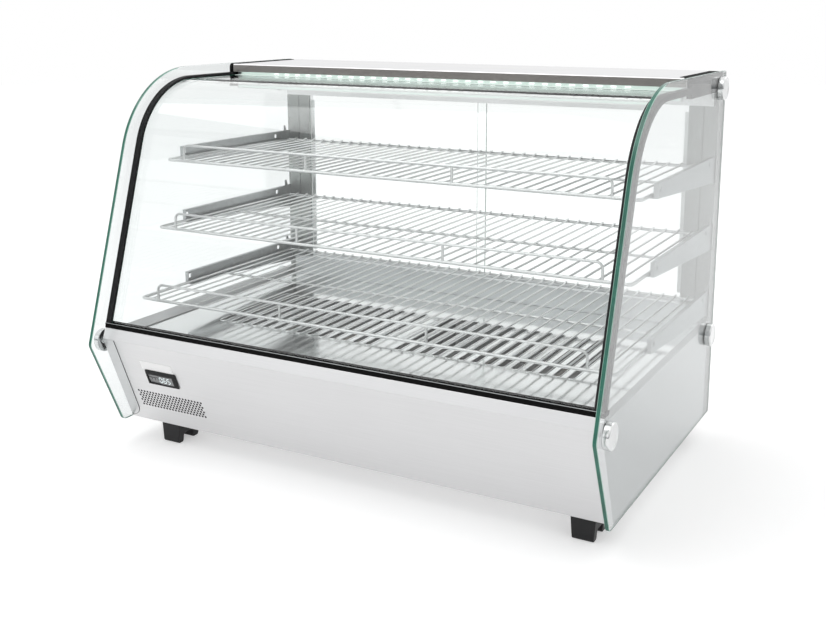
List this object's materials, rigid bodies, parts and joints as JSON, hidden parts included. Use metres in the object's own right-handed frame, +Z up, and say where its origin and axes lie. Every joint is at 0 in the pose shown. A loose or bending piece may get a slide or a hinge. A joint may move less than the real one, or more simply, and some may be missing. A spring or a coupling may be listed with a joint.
{
  "type": "heated display case",
  "caption": "Countertop warming display case with a curved front glass, glass sides, wire shelves on hooked arms, a slotted warm-air deck and sliding rear doors.",
  "frame": {"origin": "middle of the footprint, on the counter surface that the feet stand on", "axes": "+X to the right seen from the front, +Z up, front glass and controls towards -Y, sliding doors towards +Y"},
  "size_m": [0.856, 0.568, 0.603],
  "materials": {
    "stainless": "satin stainless sheet",
    "polished_steel": "mirror-polished stainless sheet",
    "galvanised": "galvanised sheet",
    "chrome": "bright plated",
    "aluminium": "satin anodised",
    "clear_glass": "clear toughened sheet",
    "green_glass": "clear toughened sheet with green edges",
    "black_rubber": "black extruded seal",
    "black_plastic": "black moulded",
    "grey_plastic": "grey glossy film",
    "lens": "white translucent lens",
    "heater_steel": "heat-dulled steel tube",
    "motor_steel": "plated steel"
  },
  "bodies": {
    "case": {"base_tray": "stainless", "front_panel": "stainless", "rear_panel": "stainless", "top_cover": "stainless", "rear_post_left": "stainless", "rear_post_right": "stainless", "rear_bottom_rail": "stainless", "rear_top_rail": "stainless", "deck_plate": "polished_steel", "shelf_arm_top_left": "galvanised", "shelf_arm_top_right": "galvanised", "shelf_arm_middle_left": "galvanised", "shelf_arm_middle_right": "galvanised", "shelf_arm_lower_left": "galvanised", "shelf_arm_lower_right": "galvanised", "glass_cap_front_left": "chrome", "glass_cap_front_right": "chrome", "glass_cap_lower_rear_left": "chrome", "glass_cap_lower_rear_right": "chrome", "glass_cap_upper_rear_left": "chrome", "glass_cap_upper_rear_right": "chrome", "front_crossbar": "aluminium", "lamp_channel": "aluminium", "front_glass": "clear_glass", "side_glass_left": "green_glass", "side_glass_right": "green_glass", "bottom_seal": "black_rubber", "end_gasket_left": "black_rubber", "end_gasket_right": "black_rubber", "cover_gasket_left": "black_rubber", "cover_gasket_right": "black_rubber", "foot_front_left": "black_plastic", "foot_front_right": "black_plastic", "foot_rear_left": "black_plastic", "foot_rear_right": "black_plastic", "thermostat_housing": "black_plastic", "main_switch_housing": "black_plastic", "lamp_switch_housing": "black_plastic", "cable_gland": "black_plastic", "lamp_driver": "black_plastic", "thermostat_screen": "grey_plastic", "lamp_lens": "lens", "fan_stand": "galvanised", "heating_element_left": "heater_steel", "heating_element_right": "heater_steel", "fan_motor": "motor_steel", "temperature_probe": "motor_steel"},
    "left_door": {"door_left": "clear_glass", "door_pull_left": "aluminium"},
    "right_door": {"door_right": "clear_glass", "door_pull_right": "aluminium"},
    "top_shelf": {"wire_shelf_top": "chrome"},
    "middle_shelf": {"wire_shelf_middle": "chrome"},
    "lower_shelf": {"wire_shelf_lower": "chrome"},
    "impeller": {"fan_impeller": "black_plastic"},
    "main_rocker": {"main_switch_rocker": "black_plastic"},
    "lamp_rocker": {"lamp_switch_rocker": "black_plastic"},
    "set_key": {"key_set": "grey_plastic"},
    "down_key": {"key_down": "grey_plastic"},
    "up_key": {"key_up": "grey_plastic"}
  },
  "joints": [
    {"name": "left_door_slide", "type": "slide", "parent": "case", "child": "left_door", "axis": [1, 0, 0], "range_m": [0, 0.35]},
    {"name": "right_door_slide", "type": "slide", "parent": "case", "child": "right_door", "axis": [-1, 0, 0], "range_m": [0, 0.35]},
    {"name": "top_shelf_lift", "type": "slide", "parent": "case", "child": "top_shelf", "axis": [0, 0, 1], "range_m": [0, 0.03]},
    {"name": "middle_shelf_lift", "type": "slide", "parent": "case", "child": "middle_shelf", "axis": [0, 0, 1], "range_m": [0, 0.03]},
    {"name": "lower_shelf_lift", "type": "slide", "parent": "case", "child": "lower_shelf", "axis": [0, 0, 1], "range_m": [0, 0.03]},
    {"name": "impeller_spin", "type": "hinge", "parent": "case", "child": "impeller", "pos_m": [0, 0.0115, 0.1128], "axis": [0, 0, 1], "continuous": true},
    {"name": "main_rocker_tilt", "type": "hinge", "parent": "case", "child": "main_rocker", "pos_m": [0.25, 0.27929, 0.11], "axis": [1, 0, 0], "range_deg": [0, 20]},
    {"name": "lamp_rocker_tilt", "type": "hinge", "parent": "case", "child": "lamp_rocker", "pos_m": [0.204, 0.27929, 0.11], "axis": [1, 0, 0], "range_deg": [0, 20]},
    {"name": "set_key_press", "type": "slide", "parent": "case", "child": "set_key", "axis": [0, 0.93, 0.3675], "range_m": [0, 0.0008], "stiffness_N_per_m": 300, "springref_m": -0.0006},
    {"name": "down_key_press", "type": "slide", "parent": "case", "child": "down_key", "axis": [0, 0.93, 0.3675], "range_m": [0, 0.0008], "stiffness_N_per_m": 300, "springref_m": -0.0006},
    {"name": "up_key_press", "type": "slide", "parent": "case", "child": "up_key", "axis": [0, 0.93, 0.3675], "range_m": [0, 0.0008], "stiffness_N_per_m": 300, "springref_m": -0.0006}
  ]
}
